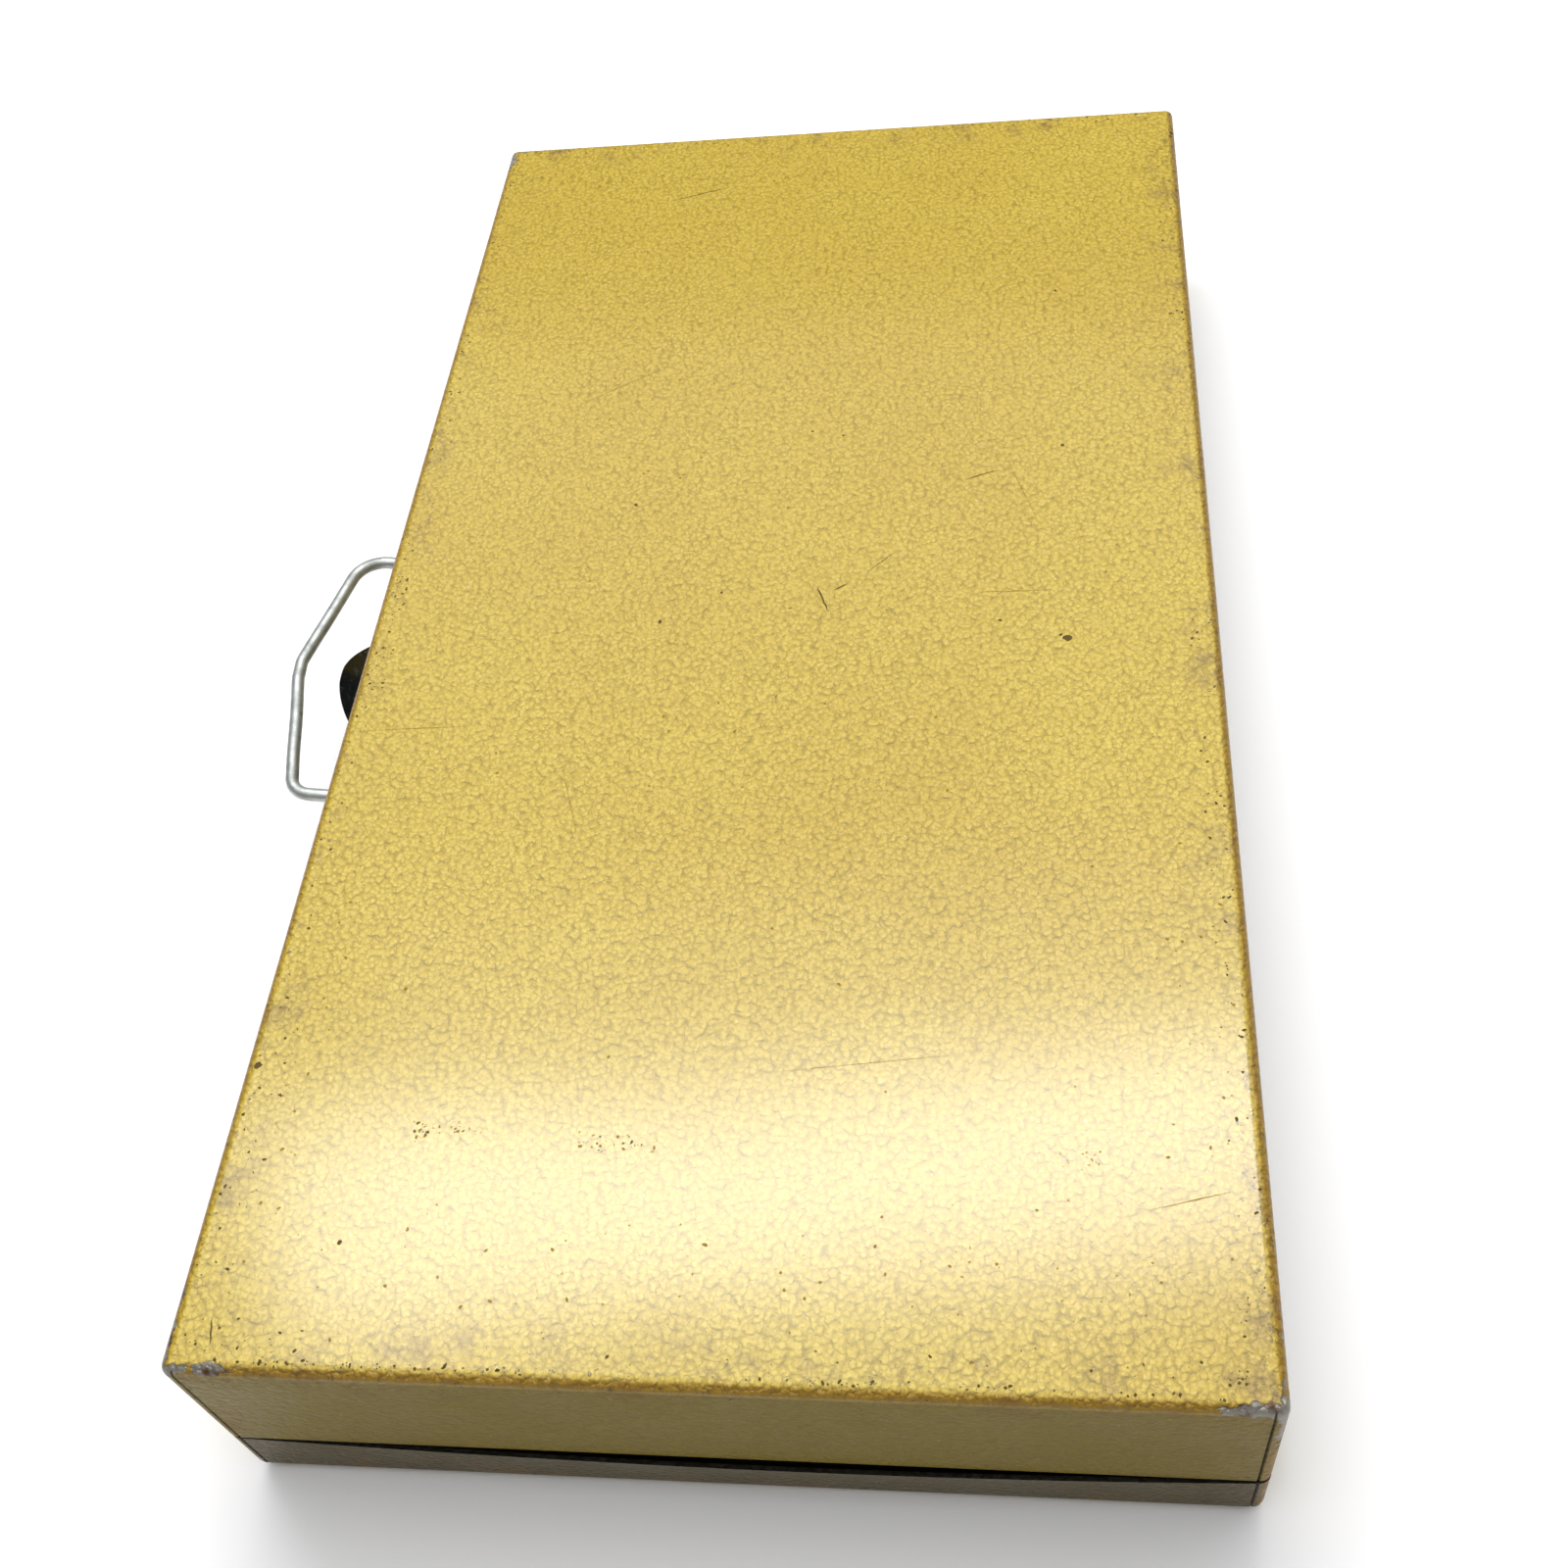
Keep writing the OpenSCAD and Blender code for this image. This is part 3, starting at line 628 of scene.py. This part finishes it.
def swept(bm, path, radius, sides=18, wander=0.0):
    """A round wire along points in space, very slightly uneven as bent by hand."""
    loops = []
    for i, p in enumerate(path):
        along = (path[min(i + 1, len(path) - 1)] - path[max(i - 1, 0)]).normalized()
        across = along.cross(Vector((0, 0, 1))).normalized()
        up = across.cross(along)
        shift = noise.noise_vector(p * 60) * wander
        shift -= along * shift.dot(along)
        loop = []
        for k in range(sides):
            a = math.tau * k / sides
            loop.append(bm.verts.new(p + shift + (across * math.cos(a) + up * math.sin(a)) * radius))
        loops.append(loop)
    for lower, upper in zip(loops, loops[1:]):
        bridge(bm, lower, upper)
    bm.faces.new(loops[0])
    bm.faces.new(loops[-1])


def densified(path, longest):
    """The same path with extra points on its long straights."""
    dense = [path[0]]
    for a, b in zip(path, path[1:]):
        count = max(1, math.ceil((b - a).length / longest))
        dense += [a.lerp(b, i / count) for i in range(1, count + 1)]
    return dense


def make_bail():
    wire = 1.6 * MM
    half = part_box("handle_bail")[1].x - wire
    joints = {j["name"]: j for j in frame["record"]["behaviour"]["joints"]}
    pivot = Vector(joints["handle_pivot"]["pos_m"])
    side = half / MM
    trunnion = 11       # the part of the wire inside and beside each bracket
    # flat outline: x along the case, then outward from the pivot, in mm
    outline = [(side - trunnion, 0), (side, 0), (side, 18.6), (3.0, 25.7),
               (-2.6, 26.0), (-side, 18.2), (-side, 0), (-side + trunnion, 0)]
    corners = (2.6, 5.2, 3.2, 3.2, 8.6, 2.6)
    flat = densified(filleted([Vector(p) * MM for p in outline], [r * MM for r in corners]), 3 * MM)
    tilt = math.radians(8)
    outward = Vector((0, -math.cos(tilt), math.sin(tilt)))
    path = [pivot + Vector((p.x, 0, 0)) + outward * p.y for p in flat]
    bm = bmesh.new()
    noise.seed_set(WANDER_SEED)
    swept(bm, path, wire, wander=0.25 * MM)
    finish_piece("bail_wire", bm, WIRE, "handle", ["handle_bail"], smooth=60)


make_bail()


# ---------- rolled rims of the trays ----------

def rolled_rim(node, body, radius=0.75 * MM, corner=1.6 * MM):
    """A wired edge running round the top of one tray."""
    sides = 10
    low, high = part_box(node)
    middle = Vector(((low.x + high.x) / 2, (low.y + high.y) / 2, high.z - radius * 0.6))
    half_x, half_y = (high.x - low.x) / 2, (high.y - low.y) / 2
    xs, ys = (-half_x + corner, 0, half_x - corner), (-half_y + corner, 0, half_y - corner)
    bm = bmesh.new()
    loops = []
    for i in range(sides):
        angle = math.tau * i / sides
        inset = 0.4 * MM - radius * math.cos(angle)
        points = ring(half_x - inset, half_y - inset, corner - inset, radius * math.sin(angle), xs, ys)
        loops.append([bm.verts.new(middle + p) for p in points])
    for inner, outer in zip(loops, loops[1:] + loops[:1]):
        bridge(bm, inner, outer)
    finish_piece("rim_" + node, bm, TIN, body, smooth=60)


for tray in ("front_tray_left", "front_tray_right", "rear_tray_left", "rear_tray_right"):
    rolled_rim(tray, "base")
rolled_rim("upper_tray", "cantilever_tray")


# ---------- floor, light and camera ----------

FLOOR_SIZE = 40
ROOM_DIM, ROOM_BRIGHT = 0.20, 0.85      # the room's light near the horizon and overhead


def make_floor():
    bpy.ops.mesh.primitive_plane_add(size=FLOOR_SIZE)
    floor = bpy.context.object
    floor.name = "floor"
    n = Nodes("floor_white")
    n.set(Base_Color=(0.95, 0.95, 0.955, 1), Roughness=0.75, Specular_IOR_Level=0.2)
    floor.data.materials.append(n.material)


def area_light(name, place, target, size, power):
    """A rectangular light that faces the target."""
    light = bpy.data.lights.new(name, "AREA")
    light.shape = "RECTANGLE"
    light.size, light.size_y = size
    light.energy = power
    holder = bpy.data.objects.new(name, light)
    scene.collection.objects.link(holder)
    holder.location = place
    holder.rotation_euler = (Vector(target) - Vector(place)).to_track_quat("-Z", "Y").to_euler()


def make_world():
    """A pale room, bright overhead and dim near the horizon."""
    world = bpy.data.worlds.new("studio")
    scene.world = world
    world.use_nodes = True
    nodes, links = world.node_tree.nodes, world.node_tree.links
    place = nodes.new("ShaderNodeTexCoord")
    facing = nodes.new("ShaderNodeVectorMath")
    facing.operation = "DOT_PRODUCT"
    facing.inputs[1].default_value = (-0.10, 0.0, 0.995)
    links.new(place.outputs["Generated"], facing.inputs[0])
    spread = nodes.new("ShaderNodeMapRange")
    for socket, value in zip(list(spread.inputs)[1:5], (0.5, 1.0, ROOM_DIM, ROOM_BRIGHT)):
        socket.default_value = value
    links.new(facing.outputs["Value"], spread.inputs[0])
    background = nodes["Background"]
    background.inputs[0].default_value = (0.97, 0.98, 1.0, 1)
    links.new(spread.outputs[0], background.inputs[1])


# the photograph's viewpoint
CAMERA_PLACE = Vector((0.2932, 0.0603, 0.3621))
CAMERA_AIM = Vector((0.0364, -0.0005, 0.028))
CAMERA_ROLL = math.radians(-11.17)
CAMERA_LENS = 41.24


def make_camera():
    data = bpy.data.cameras.new("camera")
    data.lens = CAMERA_LENS
    data.sensor_width = 36
    data.clip_start = 0.01
    camera = bpy.data.objects.new("camera", data)
    scene.collection.objects.link(camera)
    look = (CAMERA_AIM - CAMERA_PLACE).to_track_quat("-Z", "Y").to_matrix().to_4x4()
    camera.matrix_world = Matrix.Translation(CAMERA_PLACE) @ look @ Matrix.Rotation(CAMERA_ROLL, 4, "Z")
    scene.camera = camera


make_floor()
make_world()
area_light("window", (-0.52, -0.22, 1.50), (0.13, -0.14, 0.0), (1.1, 0.22), 9.6)
area_light("window_glow", (-0.72, -0.16, 1.52), (0.13, -0.08, 0.0), (1.1, 0.34), 1.5)
area_light("ceiling", (-0.76, 0.10, 1.80), (-0.76, 0.10, 0.0), (3.1, 2.6), 32.0)
make_camera()

scene.view_settings.view_transform = "Standard"
scene.view_settings.look = "None"
